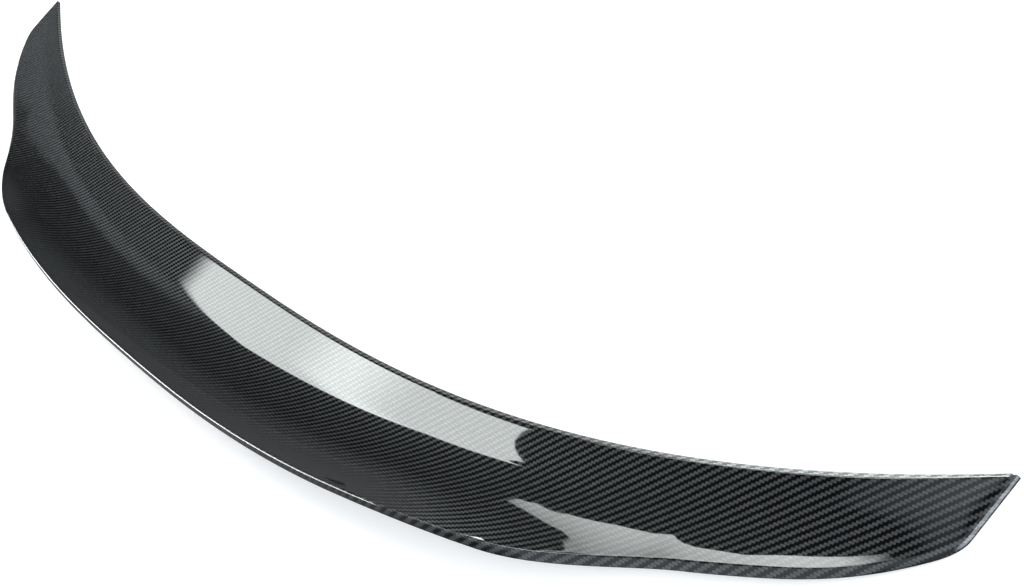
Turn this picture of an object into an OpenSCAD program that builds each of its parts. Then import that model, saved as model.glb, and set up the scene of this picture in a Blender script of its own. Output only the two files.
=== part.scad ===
// Boot-lid spoiler: one moulded skin with a flat front land, a concave face that
// climbs to a turned-down lip, and wings that sweep forward to narrow tips.
// Millimetres. X runs across the car, +Y is its front, Z is up. The origin is
// the middle of the front land on the centre line, on the face that is bonded.

/* [Plan] */

// Width from tip to tip
span = 1282; // [1220:2:1400]

// How far the tips reach ahead of the front edge's middle
sweep = 137.5; // [110:0.5:170]

// How late the front edge turns forward, as the power of its curve
sweep_power = 2.66; // [2.2:0.02:3.2]

// Front to back at the centre line
mid_chord = 105.5; // [95:0.5:125]

// Depth that the part loses evenly from the centre line to the tips
chord_taper = 24; // [12:0.5:30]

// Further depth that it loses where the lip runs out into the wing
wing_step = 14; // [6:0.5:18]

// Length of rear edge over which it steps forward there
step_length = 115; // [80:1:140]

// Where that step ends, in from the end
step_in = 127; // [100:1:160]

// Depth lost where the rear edge turns forward beside the end
corner_sweep = 19; // [8:0.5:24]

// Length of rear edge that makes this turn, up to the end
corner_length = 92; // [70:1:130]

// How far each end edge leans outward from its corner to its tip
end_lean = 2.3; // [0:0.1:8]

// Length of rear edge taken up by the rounded corner
corner_round = 8; // [5:0.5:16]

// Width of the blunt tip
tip_width = 5; // [4:0.5:9]

/* [Heights] */

// Height that the lip's lower edge gains over the wings
lip_rise = 27; // [12:0.5:34]

// Height of the wings' lower edge at the centre line, zero at the tips
wing_rise = 11.5; // [6:0.5:18]

// How quickly the wings' lower edge comes down towards the tips, as a power
wing_power = 4.1; // [2.5:0.1:6]

// Length over which the lip comes down
fall_length = 206; // [120:1:240]

// Where the lip has run out into the wing, in from the end
fall_in = 145; // [115:1:190]

// How late the face climbs behind the flat land, as the power of its curve
climb_power = 2; // [1.7:0.1:2.6]

/* [Skin] */

// Skin thickness, square to the face
wall = 2.5; // [1.8:0.1:2.8]

// Width of the front edge's bevel along the middle
lead_bevel = 3.4; // [2.4:0.1:7]

// Width of that bevel at the tips
tip_bevel = 2.6; // [1.5:0.1:3.4]

// Height of the plain edge under each bevel
edge_face = 0.8; // [0.4:0.1:1.4]

// Front to back of the flat land, at the centre line
bond_land = 32; // [26:0.5:38]

// Rounding where the front bevel meets the face
bevel_round = 0.8; // [0.3:0.1:1.2]

/* [Lip] */

// Height of the lip's rear face along the middle
lip_drop = 7.2; // [6:0.1:10]

// Height of the wings' rear face
wing_drop = 3.1; // [3:0.1:5]

// How far the lip's rear face slants back
lip_run = 2.8; // [2:0.1:8]

// How far the wings' rear face slants back
wing_run = 4.6; // [2.2:0.1:5.6]

// How far the end edge slants out at the tips
tip_run = 1.9; // [1.4:0.1:2.4]

// How far ahead of the crest the lip's inner face meets the underside
lip_inset = 0.8; // [0.2:0.1:1.6]

// Width of the lip's lower edge
lip_foot = 3.2; // [2:0.1:4]

// Width of the wings' lower edge
wing_foot = 1.2; // [0.8:0.1:1.3]

// Rounding of the crest, from its corner to each end
crest_round = 1.2; // [0.5:0.1:1.5]

/* [Hidden] */

half = span / 2;
// Places along the rear edge, from the centre line
step_end = half - step_in;
step_start = step_end - step_length;
fall_end = half - fall_in;
fall_start = fall_end - fall_length;
corner_start = half - corner_length;
lead_end = half - tip_width;
corner_x = half - end_lean;
round_x = corner_x - corner_round;
// Share of a section that the land takes behind the bevel
land_share = (bond_land - lead_bevel) / (mid_chord - lead_bevel - lip_run);
// Stations from the centre line to the corner, round it, and up the end edge
rear_steps = 50;
round_steps = 5;
end_steps = 5;
last = rear_steps + round_steps + end_steps;
// Near the ends the section lines fan forward: over this length the front edge's
// stations fall behind the rear edge's, by this much at the corner
fan_length = 151;
fan_start = half - fan_length;
fan_lag = 30;
// Points along the top of a section, its underside and its two roundings
top_steps = 16;
under_steps = 11;
bevel_steps = 2;
crest_steps = 3;

function ease(u) = let (c = min(max(u, 0), 1)) c * c * (3 - 2 * c);
function mix(a, b, u) = a + (b - a) * u;
function unit(v) = v / norm(v);
function bend(a, b, c, u) = mix(mix(a, b, u), mix(b, c, u), u);

// Plan: the front edge, the depth behind it, and the rear edge
function lead_y(x) = sweep * pow(x / lead_end, sweep_power);
function corner_turn(x) = pow(max(0, (x - corner_start) / (half - corner_start)), 3);
function chord(x) = mid_chord - chord_taper * pow(x / lead_end, 2)
    - wing_step * ease((x - step_start) / (step_end - step_start))
    - corner_sweep * corner_turn(x);
function trail_y(x) = lead_y(x) - chord(x);

function lead_x(x) = x - fan_lag * pow(max(0, (x - fan_start) / (round_x - fan_start)), 2);

corner = [corner_x, trail_y(corner_x)];
tip = [half, sweep];
round_end = corner + unit(tip - corner) * corner_round;

rear_line = [
    for (i = [0 : rear_steps - 1]) let (x = round_x * i / rear_steps) [x, trail_y(x)],
    for (i = [0 : round_steps - 1])
        bend([round_x, trail_y(round_x)], corner, round_end, i / round_steps),
    for (i = [0 : end_steps]) mix(round_end, tip, i / end_steps)
];
front_line = [
    for (i = [0 : rear_steps - 1]) let (x = lead_x(round_x * i / rear_steps)) [x, lead_y(x)],
    for (i = [0 : round_steps + end_steps])
        let (x = mix(lead_x(round_x), lead_end, i / (round_steps + end_steps))) [x, lead_y(x)]
];

// Direction along a line at station i; both lines cross the centre line squarely
function along(line, i) = i == 0 ? [1, 0]
    : unit(line[min(i + 1, last)] - line[i - 1]);
function lift(p, z) = [p[0], p[1] + bond_land / 2, z];

// One section, from the front edge over the top to the rear edge and back
function section(i) =
    let (
        front = front_line[i],
        rear = rear_line[i],
        front_dir = along(front_line, i),
        rear_dir = along(rear_line, i),
        out = ease((rear[0] - fall_start) / (fall_end - fall_start)),
        ending = ease((rear[0] - corner_start) / (half - corner_start)),
        front_ending = ease((front[0] - corner_start) / (lead_end - corner_start)),
        bevel = mix(lead_bevel, tip_bevel, front_ending),
        run = mix(mix(lip_run, wing_run, out), tip_run, ending),
        drop = mix(lip_drop, wing_drop, out),
        foot = mix(lip_foot, wing_foot, out),
        base = wing_rise * (1 - pow(rear[0] / half, wing_power)) + lip_rise * (1 - out),
        shoulder = front + [front_dir[1], -front_dir[0]] * bevel,
        crest = rear + [-rear_dir[1], rear_dir[0]] * run,
        inner_foot = rear + [-rear_dir[1], rear_dir[0]] * foot,
        reach = norm(crest - shoulder),
        inner = 1 - lip_inset * (1 - out) / reach,
        climb = base + drop - wall,
        from = bevel_round / reach,
        to = 1 - crest_round / reach,
        edge = lift(front, edge_face),
        shoulder_top = lift(shoulder, wall),
        crest_top = lift(crest, base + drop),
        lip_edge = lift(rear, base + edge_face),
        face_from = mix(shoulder_top, edge, bevel_round / norm(edge - shoulder_top)),
        face_to = mix(crest_top, lip_edge, crest_round / norm(lip_edge - crest_top))
    )
    [
        lift(front, 0),
        edge,
        for (k = [0 : bevel_steps - 1])
            bend(face_from, shoulder_top, on_top(shoulder, crest, climb, from), k / bevel_steps),
        for (k = [0 : top_steps])
            on_top(shoulder, crest, climb, mix(from, to, k / top_steps)),
        for (k = [1 : crest_steps])
            bend(on_top(shoulder, crest, climb, to), crest_top, face_to, k / crest_steps),
        lip_edge,
        lift(rear, base),
        lift(inner_foot, base),
        for (k = [0 : under_steps])
            under(shoulder, crest, climb, reach, mix(inner, land_share, k / under_steps))
    ];

// Share of the climb's depth passed at t, which runs from shoulder to crest
function risen(t) = max(0, (t - land_share) / (1 - land_share));
function on_top(a, b, climb, t) =
    lift(mix(a, b, t), wall + climb * pow(risen(t), climb_power));
function under(a, b, climb, reach, t) =
    let (
        slope = climb * climb_power * pow(risen(t), climb_power - 1) / reach / (1 - land_share)
    )
    lift(mix(a, b, t), wall * (1 - sqrt(1 + slope * slope)) + climb * pow(risen(t), climb_power));

function mirrored(ring) = [for (p = ring) [-p[0], p[1], p[2]]];
function middle(ring) = [for (a = [0 : 2]) (min([for (p = ring) p[a]]) + max([for (p = ring) p[a]])) / 2];

// The skin, lofted through every section from the left tip to the right one
module spoiler() {
    half_rings = [for (i = [0 : last]) section(i)];
    rings = [
        for (i = [last : -1 : 1]) mirrored(half_rings[i]),
        for (i = [0 : last]) half_rings[i]
    ];
    size = len(rings[0]);
    count = len(rings);
    points = [for (ring = rings) each ring, middle(rings[0]), middle(rings[count - 1])];
    left_cap = count * size;
    // The two halves split their quads along mirrored diagonals
    sides = [
        for (k = [0 : count - 2], j = [0 : size - 1])
            let (a = k * size + j, b = k * size + (j + 1) % size)
            each k < last
                ? [[a, a + size, b], [b, a + size, b + size]]
                : [[a, a + size, b + size], [a, b + size, b]]
    ];
    caps = [
        for (j = [0 : size - 1]) [left_cap, j, (j + 1) % size],
        for (j = [0 : size - 1])
            [left_cap + 1, (count - 1) * size + (j + 1) % size, (count - 1) * size + j]
    ];
    color([0.09, 0.095, 0.1]) polyhedron(points = points, faces = concat(sides, caps));
}

spoiler();
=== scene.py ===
import math
import bpy
import numpy as np
from mathutils import Matrix, Vector


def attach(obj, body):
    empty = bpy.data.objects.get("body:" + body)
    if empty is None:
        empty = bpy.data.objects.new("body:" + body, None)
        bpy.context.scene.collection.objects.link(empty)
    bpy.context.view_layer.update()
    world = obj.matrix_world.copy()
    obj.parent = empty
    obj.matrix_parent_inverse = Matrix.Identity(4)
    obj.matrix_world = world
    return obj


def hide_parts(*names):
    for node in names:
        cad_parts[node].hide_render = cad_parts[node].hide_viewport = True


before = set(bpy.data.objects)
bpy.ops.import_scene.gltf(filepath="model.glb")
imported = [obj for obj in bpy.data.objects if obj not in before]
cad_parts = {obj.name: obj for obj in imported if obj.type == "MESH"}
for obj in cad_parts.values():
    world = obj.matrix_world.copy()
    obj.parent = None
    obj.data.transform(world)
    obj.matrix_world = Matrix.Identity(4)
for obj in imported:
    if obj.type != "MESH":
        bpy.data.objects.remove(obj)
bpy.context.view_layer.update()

mm = 0.001

# The spoiler's own sizes in millimetres, as the solid has them but for a fuller crest
skin = {
    "span": 1282.0, "sweep": 137.5, "sweepPower": 2.66,
    "midChord": 105.5, "chordTaper": 24.0,
    "wingStep": 14.0, "stepLength": 115.0, "stepIn": 127.0,
    "cornerSweep": 19.0, "cornerLength": 92.0,
    "endLean": 2.3, "cornerRound": 8.0, "tipWidth": 5.0,
    "lipRise": 27.0, "wingRise": 11.5, "wingPower": 4.1,
    "fallLength": 206.0, "fallIn": 145.0, "climbPower": 2.0,
    "wall": 2.5, "leadBevel": 3.4, "tipBevel": 2.6, "edgeFace": 0.8,
    "bondLand": 32.0, "bevelRound": 0.8,
    "lipDrop": 7.2, "wingDrop": 3.1, "lipRun": 2.8, "wingRun": 4.6, "tipRun": 1.9,
    "lipInset": 0.8, "lipFoot": 3.2, "wingFoot": 1.2, "crestRound": 1.6,
    "fanLength": 151.0, "fanLag": 30.0,
}

# How finely each stretch of the skin is meshed, and from what angle an edge is sharp
mesh = {
    "rearSteps": 230, "roundSteps": 20, "endSteps": 20,
    "bevelSteps": 5, "topSteps": 44, "crestSteps": 7, "faceSteps": 3, "underSteps": 24,
    "sharpAngle": math.radians(50),
}


def ease(u):
    u = np.clip(u, 0, 1)
    return u * u * (3 - 2 * u)


def mix(a, b, u):
    return a + (b - a) * u


def bend(a, b, c, u):
    return mix(mix(a, b, u), mix(b, c, u), u)


def unit(v):
    return v / np.linalg.norm(v, axis=-1, keepdims=True)


# Rear and front edge of the right half in plan, station by station
def planLines(s, steps):
    half = s["span"] / 2
    leadEnd = half - s["tipWidth"]
    cornerX = half - s["endLean"]
    roundX = cornerX - s["cornerRound"]

    def leadY(x):
        return s["sweep"] * (x / leadEnd) ** s["sweepPower"]

    def trailY(x):
        turn = np.maximum(0, 1 - (half - x) / s["cornerLength"]) ** 3
        step = ease((x - (half - s["stepIn"])) / s["stepLength"] + 1)
        depth = s["midChord"] - s["chordTaper"] * (x / leadEnd) ** 2
        return leadY(x) - (depth - s["wingStep"] * step - s["cornerSweep"] * turn)

    def leadX(x):
        fanStart = half - s["fanLength"]
        lag = np.maximum(0, (x - fanStart) / (roundX - fanStart)) ** 2
        return x - s["fanLag"] * lag

    def at(x, y):
        return np.stack([x, y], axis=-1)

    corner = np.array([cornerX, trailY(cornerX)])
    tip = np.array([half, s["sweep"]])
    roundEnd = corner + unit(tip - corner) * s["cornerRound"]
    x = roundX * np.arange(steps["rearSteps"]) / steps["rearSteps"]
    u = (np.arange(steps["roundSteps"]) / steps["roundSteps"])[:, None]
    v = (np.arange(steps["endSteps"] + 1) / steps["endSteps"])[:, None]
    fan = steps["roundSteps"] + steps["endSteps"]
    fanX = mix(leadX(roundX), leadEnd, np.arange(fan + 1) / fan)
    rear = np.concatenate([
        at(x, trailY(x)),
        bend(np.array([roundX, trailY(roundX)]), corner, roundEnd, u),
        mix(roundEnd, tip, v),
    ])
    front = np.concatenate([at(leadX(x), leadY(leadX(x))), at(fanX, leadY(fanX))])
    return rear, front


# Unit direction of a plan line at each station; it crosses the centre line squarely
def along(line):
    ahead = np.concatenate([line[1:], line[-1:]])
    behind = np.concatenate([line[:1], line[:-1]])
    way = unit(ahead - behind)
    way[0] = (1, 0)
    return way


# All sections of the right half, stations by points by three, in millimetres, with
# the name of the stretch that starts at each point
def halfRings(s, steps):
    half = s["span"] / 2
    leadEnd = half - s["tipWidth"]
    rear, front = planLines(s, steps)
    rearWay, frontWay = along(rear), along(front)
    # How far each station has run out from the lip into the wing, and into the end
    out = ease((rear[:, 0] - (half - s["fallIn"])) / s["fallLength"] + 1)
    cornerStart = half - s["cornerLength"]
    ending = ease((rear[:, 0] - cornerStart) / s["cornerLength"])
    frontEnding = ease((front[:, 0] - cornerStart) / (leadEnd - cornerStart))
    bevel = mix(s["leadBevel"], s["tipBevel"], frontEnding)[:, None]
    run = mix(mix(s["lipRun"], s["wingRun"], out), s["tipRun"], ending)[:, None]
    foot = mix(s["lipFoot"], s["wingFoot"], out)[:, None]
    drop = mix(s["lipDrop"], s["wingDrop"], out)
    base = s["wingRise"] * (1 - (rear[:, 0] / half) ** s["wingPower"]) + s["lipRise"] * (1 - out)
    shoulder = front + np.stack([frontWay[:, 1], -frontWay[:, 0]], -1) * bevel
    inward = np.stack([-rearWay[:, 1], rearWay[:, 0]], -1)
    crest = rear + inward * run
    reach = np.linalg.norm(crest - shoulder, axis=1)
    inner = 1 - s["lipInset"] * (1 - out) / reach
    climb = base + drop - s["wall"]
    # Share of a section that lies flat behind the bevel; the face climbs behind it
    landShare = (s["bondLand"] - s["leadBevel"]) / (s["midChord"] - s["leadBevel"] - s["lipRun"])

    def lift(p, z):
        y = p[:, 1] + s["bondLand"] / 2
        return np.stack([p[:, 0], y, np.broadcast_to(z, y.shape)], -1)

    def risen(t):
        return np.maximum(0, (t - landShare) / (1 - landShare))

    def onTop(t):
        t = np.broadcast_to(t, reach.shape)
        return lift(mix(shoulder, crest, t[:, None]), s["wall"] + climb * risen(t) ** s["climbPower"])

    def under(t):
        slope = climb * s["climbPower"] * risen(t) ** (s["climbPower"] - 1) / reach / (1 - landShare)
        z = s["wall"] * (1 - np.sqrt(1 + slope * slope)) + climb * risen(t) ** s["climbPower"]
        return lift(mix(shoulder, crest, t[:, None]), z)

    edge = lift(front, s["edgeFace"])
    shoulderTop = lift(shoulder, s["wall"])
    crestTop = lift(crest, base + drop)
    lipEdge = lift(rear, base + s["edgeFace"])
    start, stop = s["bevelRound"] / reach, 1 - s["crestRound"] / reach

    # The point this far from a on the way to b
    def near(a, b, distance):
        return mix(a, b, distance / np.linalg.norm(b - a, axis=-1, keepdims=True))

    bevelFrom = near(shoulderTop, edge, s["bevelRound"])
    crestTo = near(crestTop, lipEdge, s["crestRound"])
    points, part = [], []

    def add(name, p):
        points.append(p)
        part.append(name)

    add("edge", lift(front, 0))
    add("rim", edge)
    for k in range(steps["bevelSteps"]):
        add("top", bend(bevelFrom, shoulderTop, onTop(start), k / steps["bevelSteps"]))
    for k in range(steps["topSteps"] + 1):
        add("top", onTop(mix(start, stop, k / steps["topSteps"])))
    for k in range(1, steps["crestSteps"] + 1):
        add("top", bend(onTop(stop), crestTop, crestTo, k / steps["crestSteps"]))
    for k in range(1, steps["faceSteps"] + 1):
        add("top", mix(crestTo, lipEdge, k / steps["faceSteps"]))
    add("edge", lift(rear, base))
    add("under", lift(rear + inward * foot, base))
    for k in range(steps["underSteps"] + 1):
        add("under", under(mix(inner, landShare, k / steps["underSteps"])))
    return np.stack(points, 1), part


# The whole skin as one closed mesh, with the cloth's own coordinates in millimetres
def buildSkin(name):
    right, part = halfRings(skin, mesh)
    left = right[:0:-1] * np.array([-1, 1, 1])
    rings = np.concatenate([left, right])
    count, size = rings.shape[:2]
    flat = rings.reshape(-1, 3)
    ends = np.stack([(rings[k].min(0) + rings[k].max(0)) / 2 for k in (0, -1)])
    verts = np.concatenate([flat, ends]) * mm
    # Cloth coordinates: X across the car, and the length run back along a section,
    # from the front edge over the top, and from the front edge over the underside
    step = np.linalg.norm(np.diff(rings[:, :, 1:], axis=1), axis=2)
    down = np.concatenate([np.zeros((count, 1)), np.cumsum(step, axis=1)], axis=1)
    startY = rings[:, :1, 1]
    topPoints = part.index("under")
    cloth = np.zeros((count, size, 2))
    cloth[:, :, 0] = rings[:, :, 0]
    cloth[:, :, 1] = startY - down
    cloth[:, topPoints:, 1] = startY - (down[:, -1:] - down[:, topPoints:])
    cloth = np.concatenate([cloth.reshape(-1, 2), ends[:, :2]])
    # Each stretch's place among the skin's materials
    slotOf = {"top": 0, "edge": 1, "under": 2, "rim": 3}
    faces, slots = [], []
    for k in range(count - 1):
        for j in range(size):
            a, b = k * size + j, k * size + (j + 1) % size
            faces.append((a, b, b + size, a + size))
            slots.append(slotOf[part[j]])
    for j in range(size):
        a, b = j, (j + 1) % size
        faces.append((count * size, b, a))
        faces.append((count * size + 1, (count - 1) * size + a, (count - 1) * size + b))
        slots += [slotOf["edge"]] * 2
    data = bpy.data.meshes.new(name)
    data.from_pydata(verts.tolist(), [], faces)
    layer = data.uv_layers.new(name="cloth")
    corners = np.empty(len(data.loops), dtype=np.int64)
    data.loops.foreach_get("vertex_index", corners)
    layer.data.foreach_set("uv", cloth[corners].astype(np.float32).ravel())
    data.polygons.foreach_set("material_index", slots)
    data.polygons.foreach_set("use_smooth", [True] * len(faces))
    data.update()
    data.set_sharp_from_angle(angle=mesh["sharpAngle"])
    piece = bpy.data.objects.new(name, data)
    bpy.context.collection.objects.link(piece)
    return piece


# Short ways to add nodes to one tree
class Tree:
    def __init__(self, tree):
        self.tree = tree

    def node(self, kind, inputs=None, **settings):
        made = self.tree.nodes.new(kind)
        for key, value in settings.items():
            setattr(made, key, value)
        for key, value in (inputs or {}).items():
            self.put(made.inputs[key], value)
        return made

    def put(self, socket, value):
        if isinstance(value, bpy.types.NodeSocket):
            self.tree.links.new(value, socket)
        else:
            socket.default_value = value

    def math(self, operation, *values):
        made = self.tree.nodes.new("ShaderNodeMath")
        made.operation = operation
        for k, value in enumerate(values):
            self.put(made.inputs[k], value)
        return made.outputs[0]

    # Value carried from one range to another, clamped, with soft ends if asked
    def remap(self, value, fromMin, fromMax, toMin, toMax, soft=False):
        made = self.node("ShaderNodeMapRange", {"Value": value, "From Min": fromMin, "From Max": fromMax,
                                                "To Min": toMin, "To Max": toMax},
                         interpolation_type="SMOOTHSTEP" if soft else "LINEAR")
        return made.outputs["Result"]

    def mixColour(self, factor, a, b):
        made = self.node("ShaderNodeMix", {"Factor": factor, 6: a, 7: b}, data_type="RGBA")
        return made.outputs[2]


def newGroup(name, inputs, outputs):
    group = bpy.data.node_groups.new(name, "ShaderNodeTree")
    for label, kind, value in inputs:
        socket = group.interface.new_socket(label, in_out="INPUT", socket_type=kind)
        if value is not None:
            socket.default_value = value
    for label, kind in outputs:
        group.interface.new_socket(label, in_out="OUTPUT", socket_type=kind)
    tree = Tree(group)
    return group, tree, tree.node("NodeGroupInput"), tree.node("NodeGroupOutput")


# The cloth: the width of a tow in millimetres, the turn of its ribs and how far they
# waver. A tow has a rounded crown and bows over the two tows that it passes, and its
# filaments are long and thin
twill = {
    "towWidth": 1.75, "ribTurn": math.radians(79.0),
    "waver": 0.05, "waverScale": 0.02, "waverReach": 20.0,
    "crownPower": 2.5, "bowPower": 3.0, "bowShare": 0.6,
    "filamentsAlong": 0.35, "filamentsAcross": 9.0,
}


# Two-by-two twill: which tow lies on top, how high it stands, and the filaments
# that run along it
def twillGroup(c):
    group, t, given, result = newGroup(
        "twillWeave",
        [("Cloth", "NodeSocketVector", None), ("Tow Width", "NodeSocketFloat", c["towWidth"]),
         ("Turn", "NodeSocketFloat", c["ribTurn"]), ("Filaments", "NodeSocketFloat", 0.5),
         ("Waver", "NodeSocketFloat", c["waver"])],
        [("Warp", "NodeSocketFloat"), ("Height", "NodeSocketFloat"),
         ("Streak", "NodeSocketFloat"), ("Tow Tone", "NodeSocketFloat")])
    repeat, warpCentre, weftCentre = 4.0, 1.0, 3.0  # in tows
    warpSeed, weftSeed = 3.0, 11.0  # so that their filaments differ
    cloth = given.outputs["Cloth"]
    waver = t.node("ShaderNodeTexNoise", {"Vector": cloth, "Scale": c["waverScale"], "Detail": 2.0},
                   noise_dimensions="2D")
    shift = t.node("ShaderNodeVectorMath", {0: waver.outputs["Color"], 1: (0.5, 0.5, 0.5)},
                   operation="SUBTRACT")
    scaled = t.node("ShaderNodeVectorMath", {0: shift.outputs[0]}, operation="SCALE")
    t.put(scaled.inputs["Scale"], t.math("MULTIPLY", given.outputs["Waver"], c["waverReach"]))
    moved = t.node("ShaderNodeVectorMath", {0: cloth, 1: scaled.outputs[0]}, operation="ADD")
    turned = t.node("ShaderNodeVectorRotate", {"Vector": moved.outputs[0], "Angle": given.outputs["Turn"]},
                    rotation_type="Z_AXIS")
    inverse = t.math("DIVIDE", 1.0, given.outputs["Tow Width"])
    sized = t.node("ShaderNodeVectorMath", {0: turned.outputs[0], "Scale": inverse}, operation="SCALE")
    split = t.node("ShaderNodeSeparateXYZ", {0: sized.outputs[0]})
    across, up = split.outputs["X"], split.outputs["Y"]
    warpIndex, weftIndex = t.math("FLOOR", across), t.math("FLOOR", up)
    # A warp tow is on top where the two indices add to 0 or 1 in a repeat of 4
    cycle = t.math("FLOORED_MODULO", t.math("ADD", warpIndex, weftIndex), repeat)
    warp = t.math("LESS_THAN", cycle, 1.5)
    warpFrac, weftFrac = t.math("FRACT", across), t.math("FRACT", up)

    # Rounded crown across a tow, and its bow over the two tows that it passes
    def crown(frac):
        side = t.math("MULTIPLY_ADD", frac, 2.0, -1.0)
        return t.math("SUBTRACT", 1.0, t.math("POWER", t.math("ABSOLUTE", side), c["crownPower"]))

    def bow(position, centre):
        off = t.math("SUBTRACT", t.math("FLOORED_MODULO", position, repeat), centre)
        return t.math("SUBTRACT", 1.0, t.math("POWER", t.math("ABSOLUTE", off), c["bowPower"]))

    def towHeight(frac, rise):
        bowed = t.math("MULTIPLY_ADD", rise, c["bowShare"], 1 - c["bowShare"])
        return t.math("MULTIPLY", crown(frac), bowed)

    warpHeight = towHeight(warpFrac, bow(t.math("ADD", up, warpIndex), warpCentre))
    weftHeight = towHeight(weftFrac, bow(t.math("ADD", across, weftIndex), weftCentre))

    def pick(a, b):
        chosen = t.node("ShaderNodeMix", {"Factor": warp, 2: b, 3: a}, data_type="FLOAT")
        return chosen.outputs[0]

    def streaks(lengthways, crossways, seed):
        place = t.node("ShaderNodeCombineXYZ", {
            "X": t.math("MULTIPLY", lengthways, c["filamentsAlong"]),
            "Y": t.math("MULTIPLY", crossways, c["filamentsAcross"]), "Z": seed})
        noise = t.node("ShaderNodeTexNoise", {"Vector": place.outputs[0], "Scale": 1.0, "Detail": 2.0},
                       noise_dimensions="3D")
        return noise.outputs["Fac"]

    streak = pick(streaks(up, across, warpSeed), streaks(across, up, weftSeed))
    eased = t.math("MULTIPLY_ADD", t.math("SUBTRACT", streak, 0.5), given.outputs["Filaments"], 0.5)
    place = t.node("ShaderNodeCombineXYZ", {"X": warpIndex, "Y": weftIndex})
    tone = t.node("ShaderNodeTexWhiteNoise", {"Vector": place.outputs[0]}, noise_dimensions="3D")
    t.put(result.inputs["Warp"], warp)
    t.put(result.inputs["Height"], t.math("MAXIMUM", pick(warpHeight, weftHeight), 0.0))
    t.put(result.inputs["Streak"], eased)
    t.put(result.inputs["Tow Tone"], tone.outputs["Value"])
    return group


def newMaterial(name):
    material = bpy.data.materials.new(name)
    material.use_nodes = True
    tree = Tree(material.node_tree)
    shader = material.node_tree.nodes["Principled BSDF"]
    return material, tree, shader


def weaveNode(t, group, filaments):
    cloth = t.node("ShaderNodeUVMap", uv_map="cloth").outputs[0]
    return t.node("ShaderNodeGroup", {
        "Cloth": cloth, "Tow Width": twill["towWidth"], "Turn": twill["ribTurn"],
        "Filaments": filaments, "Waver": twill["waver"]}, node_tree=group)


# Tow colours: the warp's painted glint over the weft's painted shade, each tow a little
# lighter or darker, and dark where tows dip
def weaveColour(t, weave, look):
    base = t.mixColour(weave.outputs["Warp"], look["weftShadeColour"], look["warpGlintColour"])
    spread = look["toneSpread"]
    tone = t.math("MULTIPLY_ADD", weave.outputs["Tow Tone"], spread, 1 - spread / 2)
    streak = t.math("ADD", weave.outputs["Streak"], 0.5)
    lit = t.math("MULTIPLY", tone, streak)
    shaded = t.node("ShaderNodeVectorMath", {0: base}, operation="SCALE")
    t.put(shaded.inputs["Scale"], lit)
    dip = t.remap(weave.outputs["Height"], 0.0, look["dipHeight"], 0.0, 1.0)
    return t.mixColour(dip, look["gapColour"], shaded.outputs[0])


# The top, under the clear coat. Warp and weft are the same fibre: the warp's paler
# colour is a painted glint and the weft's near-black colour is painted shade, standing for
# the fibres' highlight; the coat thins a little over the gaps. Relief is in metres
face = {
    "warpGlintColour": (0.056, 0.058, 0.059, 1), "weftShadeColour": (0.0012, 0.0012, 0.0014, 1),
    "gapColour": (0.0015, 0.0015, 0.002, 1), "dipHeight": 0.45, "toneSpread": 0.25, "filaments": 0.7,
    "warpMetal": 0.55, "weftMetal": 0.0, "warpRoughness": 0.42, "weftRoughness": 0.6,
    "baseSpecular": 0.05, "grazingTint": (0.1, 0.1, 0.1, 1), "towRelief": 0.00005,
    "coatOverGap": 0.92, "coatFullHeight": 0.6, "coatRoughness": 0.02, "coatIndex": 1.5,
}
# The front bevel is the same, with paler tows under a duller coat; the paler warp is a
# painted reflection of the studio's grey light on the bevel
frontBevel = {**face, "warpGlintColour": (0.16, 0.165, 0.165, 1), "coatRoughness": 0.45}


def coatedCarbon(group, name, look):
    material, t, shader = newMaterial(name)
    weave = weaveNode(t, group, look["filaments"])
    warp, height = weave.outputs["Warp"], weave.outputs["Height"]

    def byTow(weft, onWarp):
        return t.remap(warp, 0.0, 1.0, look[weft], look[onWarp])

    t.put(shader.inputs["Base Color"], weaveColour(t, weave, look))
    t.put(shader.inputs["Metallic"], byTow("weftMetal", "warpMetal"))
    t.put(shader.inputs["Roughness"], byTow("weftRoughness", "warpRoughness"))
    t.put(shader.inputs["Coat Weight"],
          t.remap(height, 0.0, look["coatFullHeight"], look["coatOverGap"], 1.0))
    relief = t.node("ShaderNodeBump", {"Height": height, "Distance": look["towRelief"], "Strength": 1.0})
    t.put(shader.inputs["Normal"], relief.outputs[0])
    shader.inputs["Specular IOR Level"].default_value = look["baseSpecular"]
    shader.inputs["Specular Tint"].default_value = look["grazingTint"]
    shader.inputs["Coat Roughness"].default_value = look["coatRoughness"]
    shader.inputs["Coat IOR"].default_value = look["coatIndex"]
    return material


# The underside: the same cloth as it leaves the mould, in thin uneven resin; its warp
# is painted paler than its weft, a painted sheen on one and the same fibre
underside = {
    "warpGlintColour": (0.055, 0.056, 0.058, 1), "weftShadeColour": (0.028, 0.029, 0.03, 1),
    "gapColour": (0.0015, 0.0015, 0.002, 1), "dipHeight": 0.45, "toneSpread": 0.2, "filaments": 0.4,
    "roughFrom": 0.35, "roughSpread": 0.3, "relief": 0.000075, "poolScale": 0.08, "poolRise": 0.6,
}


def rawCarbon(group, look):
    material, t, shader = newMaterial("rawCarbon")
    weave = weaveNode(t, group, look["filaments"])
    t.put(shader.inputs["Base Color"], weaveColour(t, weave, look))
    cloth = t.node("ShaderNodeUVMap", uv_map="cloth").outputs[0]
    pooling = t.node("ShaderNodeTexNoise", {"Vector": cloth, "Scale": look["poolScale"], "Detail": 4.0},
                     noise_dimensions="2D").outputs["Fac"]
    height = t.math("MULTIPLY_ADD", pooling, look["poolRise"], weave.outputs["Height"])
    relief = t.node("ShaderNodeBump", {"Height": height, "Distance": look["relief"], "Strength": 1.0})
    t.put(shader.inputs["Normal"], relief.outputs[0])
    rough = t.math("MULTIPLY_ADD", pooling, look["roughSpread"], look["roughFrom"])
    t.put(shader.inputs["Roughness"], rough)
    return material


# The trimmed edges: cut laminate sealed with the same coat
trim = {
    "light": (0.04, 0.041, 0.043, 1), "dark": (0.028, 0.029, 0.03, 1), "roughness": 0.3,
    "coatRoughness": 0.08, "grainScale": 900.0, "relief": 0.00004, "reliefStrength": 0.6,
}


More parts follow.
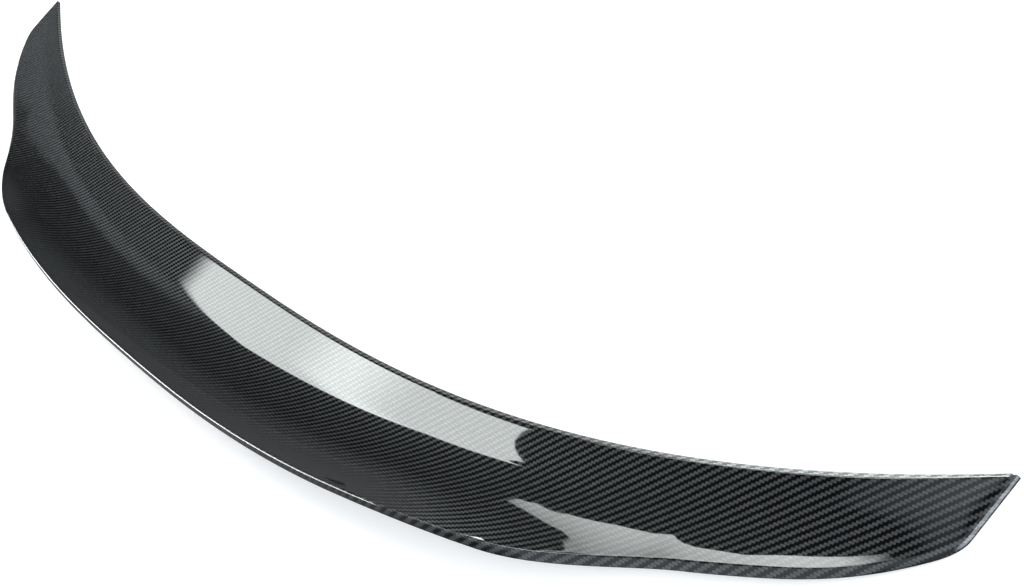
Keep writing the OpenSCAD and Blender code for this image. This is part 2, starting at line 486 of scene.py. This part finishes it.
def trimmedEdge(look):
    material, t, shader = newMaterial("trimmedEdge")
    place = t.node("ShaderNodeTexCoord").outputs["Object"]
    grain = t.node("ShaderNodeTexNoise", {"Vector": place, "Scale": look["grainScale"], "Detail": 3.0})
    height = grain.outputs["Fac"]
    t.put(shader.inputs["Base Color"], t.mixColour(height, look["light"], look["dark"]))
    relief = t.node("ShaderNodeBump", {"Height": height, "Distance": look["relief"],
                                       "Strength": look["reliefStrength"]})
    t.put(shader.inputs["Normal"], relief.outputs[0])
    shader.inputs["Roughness"].default_value = look["roughness"]
    shader.inputs["Coat Weight"].default_value = 1.0
    shader.inputs["Coat Roughness"].default_value = look["coatRoughness"]
    return material


# The camera's place and target in metres, and its roll about the line between them
camera = {
    "place": (1.0080, -0.0504, 0.6770), "target": (0.28086, 0.10620, 0.0200),
    "roll": math.radians(-43.18), "focalPixels": 1500.0, "pictureWidth": 1024.0, "sensor": 36.0,
    "clipStart": 0.01, "clipEnd": 50.0,
}


def addCamera(c):
    data = bpy.data.cameras.new("viewCamera")
    data.sensor_width = c["sensor"]
    data.lens = c["focalPixels"] / c["pictureWidth"] * c["sensor"]
    data.clip_start, data.clip_end = c["clipStart"], c["clipEnd"]
    eye = bpy.data.objects.new("viewCamera", data)
    bpy.context.collection.objects.link(eye)
    ahead = (Vector(c["target"]) - Vector(c["place"])).normalized()
    level = ahead.cross(Vector((0, 0, 1))).normalized()
    upright = level.cross(ahead)
    right = level * math.cos(c["roll"]) + upright * math.sin(c["roll"])
    top = right.cross(ahead)
    turn = Matrix((right, top, -ahead)).transposed()
    eye.matrix_world = Matrix.Translation(Vector(c["place"])) @ turn.to_4x4()
    bpy.context.scene.camera = eye


# A flat sheet of the studio, which isn't part of the object
def flatSheet(name, corners, material):
    data = bpy.data.meshes.new(name)
    data.from_pydata(corners, [], [tuple(range(len(corners)))])
    data.materials.append(material)
    sheet = bpy.data.objects.new(name, data)
    bpy.context.collection.objects.link(sheet)
    return sheet


# A matt floor. The camera sees it pale and with some light of its own, so that it ends
# in white and keeps the shadow; reflections see a dark cloth with an even glow. From
# below it is clear, so that the underside can be looked at, and it lies just under the
# flat land
floor = {
    "size": 12.0, "height": -0.0002, "colour": (0.78, 0.755, 0.735, 1), "ownLight": 0.38,
    "unseenColour": (0.03, 0.03, 0.031, 1), "unseenGlow": 0.16, "roughness": 0.9,
}


def addFloor(f):
    side = f["size"] / 2
    material, t, shader = newMaterial("studioFloor")
    seen = t.node("ShaderNodeLightPath").outputs["Is Camera Ray"]
    t.put(shader.inputs["Base Color"], t.mixColour(seen, f["unseenColour"], f["colour"]))
    shader.inputs["Roughness"].default_value = f["roughness"]
    shader.inputs["Specular IOR Level"].default_value = 0.0
    glow = t.node("ShaderNodeEmission", {"Color": (1, 1, 1, 1)})
    t.put(glow.inputs["Strength"], t.remap(seen, 0.0, 1.0, f["unseenGlow"], f["ownLight"]))
    both = t.node("ShaderNodeAddShader", {0: shader.outputs[0], 1: glow.outputs[0]})
    fromBelow = t.node("ShaderNodeNewGeometry").outputs["Backfacing"]
    clear = t.node("ShaderNodeBsdfTransparent")
    whole = t.node("ShaderNodeMixShader", {0: fromBelow, 1: both.outputs[0], 2: clear.outputs[0]})
    t.put(material.node_tree.nodes["Material Output"].inputs["Surface"], whole.outputs[0])
    z = f["height"]
    flatSheet("studioFloor", [(-side, -side, z), (side, -side, z), (side, side, z), (-side, side, z)],
              material)


# The studio round the part: dark walls, and soft patches of light on them. Each patch
# has its compass angle and height in degrees, and where it is full and where it ends
surround = {
    "tint": (0.86, 0.93, 1.0, 1), "walls": 0.012,
    "patches": {
        "farWall": {"angle": 168.0, "height": 24.8, "full": 4.5, "end": 8.2, "level": 0.3},
        "lowGlow": {"angle": 148.0, "height": -10.0, "full": 10.0, "end": 21.0, "level": 0.15},
        "nearLight": {"angle": 0.0, "height": 18.0, "full": 12.0, "end": 30.0, "level": 8.0},
        "nearHalf": {"angle": -50.0, "height": 35.0, "full": 15.0, "end": 50.0, "level": 0.8},
    },
}


def addWorld(s):
    world = bpy.data.worlds.new("studioWorld")
    world.use_nodes = True
    bpy.context.scene.world = world
    t = Tree(world.node_tree)
    world.node_tree.nodes.clear()
    way = t.node("ShaderNodeTexCoord").outputs["Generated"]
    level = s["walls"]
    for patch in s["patches"].values():
        angle, height = math.radians(patch["angle"]), math.radians(patch["height"])
        centre = Vector((math.cos(angle) * math.cos(height), math.sin(angle) * math.cos(height),
                         math.sin(height)))
        facing = t.node("ShaderNodeVectorMath", {0: way, 1: centre}, operation="DOT_PRODUCT")
        lit = t.remap(facing.outputs["Value"], math.cos(math.radians(patch["end"])),
                      math.cos(math.radians(patch["full"])), 0.0, patch["level"], soft=True)
        level = t.math("ADD", level, lit)
    dim = t.node("ShaderNodeBackground", {"Color": s["tint"], "Strength": level})
    white = t.node("ShaderNodeBackground", {"Color": (1, 1, 1, 1), "Strength": 1.0})
    path = t.node("ShaderNodeLightPath")
    both = t.node("ShaderNodeMixShader", {0: path.outputs["Is Camera Ray"], 1: dim.outputs[0],
                                          2: white.outputs[0]})
    t.node("ShaderNodeOutputWorld", {"Surface": both.outputs[0]})


# Each softbox: its outline in a level plane, in metres, and how bright it looks at the
# far and the near end of its length. It fades in from endX over the length of fade, and
# may have a brighter spot part of the way along
lampTint = (0.95, 1.0, 0.985, 1)
softboxes = {
    "longSoftbox": {
        "height": 1.5, "tint": lampTint, "farX": -2.5, "nearX": -1.1,
        "farGlow": 7.6, "nearGlow": 10.5, "endX": -2.48, "fade": 0.12,
        "spotX": -1.66, "spotHalf": 0.26, "spotGlow": 4.0,
        "outline": [(-1.1, -0.3), (-1.04, 0.176), (-1.075, 0.18), (-1.1, 0.19), (-1.112, 0.203),
                    (-1.11, 0.222), (-1.1, 0.238), (-1.09, 0.25), (-1.4, 0.25), (-2.0, 0.54),
                    (-2.3, 0.69), (-2.43, 0.55), (-2.46, 0.3), (-2.5, 0.1), (-2.4, -0.3)],
    },
    "wingSoftbox": {
        "height": 1.5, "tint": lampTint, "farX": -2.2, "nearX": -0.9,
        "farGlow": 3.3, "nearGlow": 11.0, "endX": -0.5, "fade": -0.25,
        "outline": [(-0.55, 0.77), (-0.8, 0.92), (-1.0, 1.03), (-1.17, 1.12), (-1.37, 1.16),
                    (-1.435, 1.135), (-1.42, 1.07), (-1.335, 0.965), (-1.39, 0.98), (-1.61, 1.12),
                    (-1.78, 1.29), (-1.95, 1.41), (-2.1, 1.56), (-2.31, 1.77), (-2.16, 1.72),
                    (-2.08, 1.67), (-2.12, 1.75), (-2.2, 1.84), (-2.3, 1.95), (-2.4, 2.09),
                    (-2.52, 2.24), (-2.6, 2.37), (-2.5, 2.4), (-2.2, 1.95), (-2.0, 1.75),
                    (-1.8, 1.55), (-1.4, 1.5), (-0.9, 1.25), (-0.5, 0.9)],
    },
    "overheadPanel": {
        "height": 1.5, "tint": surround["tint"], "farX": -0.44, "nearX": -0.22,
        "farGlow": 0.0, "nearGlow": 1.3, "endX": -0.45, "fade": 0.05,
        "outline": [(-0.44, -2.2), (1.6, -2.2), (1.6, 2.4), (-0.44, 2.4)],
    },
}


# A lamp's material gives light and nothing else. The lamp sets its strength
def lampMaterial(name, tint):
    material, t, shader = newMaterial(name)
    material.node_tree.nodes.remove(shader)
    light = t.node("ShaderNodeEmission", {"Color": tint})
    t.put(material.node_tree.nodes["Material Output"].inputs["Surface"], light.outputs[0])
    return material, t, light.inputs["Strength"]


def addSoftbox(name, s):
    material, t, strength = lampMaterial(name, s["tint"])
    place = t.node("ShaderNodeTexCoord").outputs["Object"]
    lengthways = t.node("ShaderNodeSeparateXYZ", {0: place}).outputs["X"]
    glow = t.remap(lengthways, s["farX"], s["nearX"], s["farGlow"], s["nearGlow"])
    if "spotX" in s:
        fromSpot = t.math("ABSOLUTE", t.math("SUBTRACT", lengthways, s["spotX"]))
        spot = t.remap(fromSpot, 0.0, s["spotHalf"], s["spotGlow"], 0.0, soft=True)
        glow = t.math("ADD", glow, spot)
    fade = t.remap(lengthways, s["endX"], s["endX"] + s["fade"], 0.0, 1.0, soft=True)
    t.put(strength, t.math("MULTIPLY", glow, fade))
    sheet = flatSheet(name, [(x, y, s["height"]) for x, y in s["outline"]], material)
    sheet.visible_camera = False


# Upright strip lights that only reflections see: one ahead of the part for the front
# edge, and one behind it for the crest. Each has its ends in plan, foot, top and glow
stripLights = {
    "frontStrip": {"start": (-0.29, 0.65), "end": (-0.02, 0.98), "foot": 0.002, "top": 0.3,
                   "glow": 16.0},
    "rearStrip": {"start": (-2.5, -0.6), "end": (-0.72, -2.38), "foot": 0.02, "top": 1.25,
                  "glow": 22.0},
}


def addStripLight(name, s):
    material, t, strength = lampMaterial(name, lampTint)
    t.put(strength, s["glow"])
    (x0, y0), (x1, y1) = s["start"], s["end"]
    corners = [(x0, y0, s["foot"]), (x1, y1, s["foot"]), (x1, y1, s["top"]), (x0, y0, s["top"])]
    sheet = flatSheet(name, corners, material)
    sheet.visible_camera = sheet.visible_diffuse = sheet.visible_shadow = False


shell = buildSkin("spoilerSkin")
print("skin built:", len(shell.data.polygons), "faces")

weave = twillGroup(twill)
for material in (coatedCarbon(weave, "coatedCarbon", face), trimmedEdge(trim),
                 rawCarbon(weave, underside), coatedCarbon(weave, "bevelledRim", frontBevel)):
    shell.data.materials.append(material)
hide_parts("spoiler")
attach(shell, "root")
print("cloth, coats and edges made:", len(shell.data.materials), "materials")

addFloor(floor)
addWorld(surround)
for name, softbox in softboxes.items():
    addSoftbox(name, softbox)
for name, strip in stripLights.items():
    addStripLight(name, strip)
addCamera(camera)
bpy.context.scene.view_settings.view_transform = "Standard"
print("studio and camera set")
